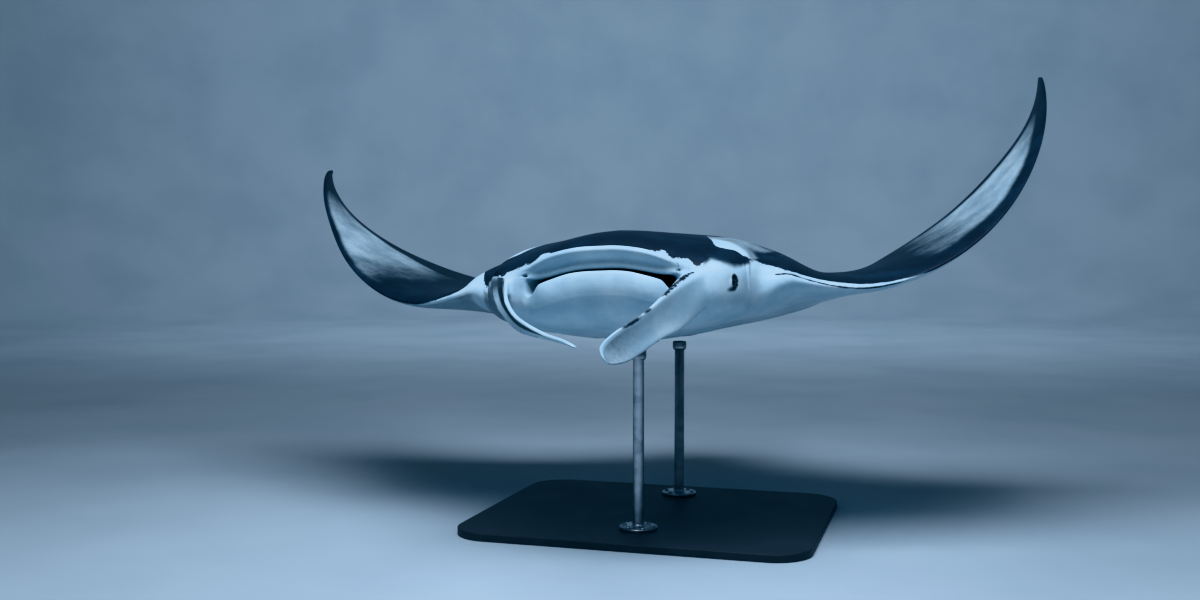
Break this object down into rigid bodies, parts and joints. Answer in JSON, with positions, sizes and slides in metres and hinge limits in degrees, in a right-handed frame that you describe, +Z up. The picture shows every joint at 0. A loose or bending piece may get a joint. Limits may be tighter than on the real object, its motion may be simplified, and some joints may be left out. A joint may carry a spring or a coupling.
{
  "type": "manta ray display model",
  "caption": "Life-size still manta ray gliding with both wings raised and head fins hanging, held on a plain flat base with upright rods.",
  "frame": {"origin": "middle of the stand base's flat underside, on the floor", "axes": "+Z up, the ray faces -Y, its left side is +X"},
  "size_m": [2.6347, 3.0448, 1.4516],
  "materials": {
    "skin_back": "smooth blue-black fish skin, fine mucus sheen",
    "skin_pale": "smooth cool white fish skin with dark margins, fine mucus sheen",
    "eye": "dark wet eye with a horizontal pupil",
    "stand_base": "matt powder coat",
    "stand_rod": "fine brushed, satin"
  },
  "bodies": {
    "root": {"cephalic_fin_left": "skin_pale", "cephalic_fin_right": "skin_pale", "dorsal_fin": "skin_back", "eye_left": "eye", "eye_right": "eye", "head": "skin_back", "lower_jaw": "skin_pale", "pelvic_fin_left": "skin_back", "pelvic_fin_right": "skin_back", "stand_base": "stand_base", "stand_rod_front": "stand_rod", "stand_rod_rear": "stand_rod", "tail_base": "skin_back", "tail_middle": "skin_back", "tail_tip": "skin_back", "trunk": "skin_back", "wing_left_inner": "skin_pale", "wing_left_middle": "skin_pale", "wing_left_tip": "skin_pale", "wing_right_inner": "skin_pale", "wing_right_middle": "skin_pale", "wing_right_tip": "skin_pale"}
  },
  "joints": []
}
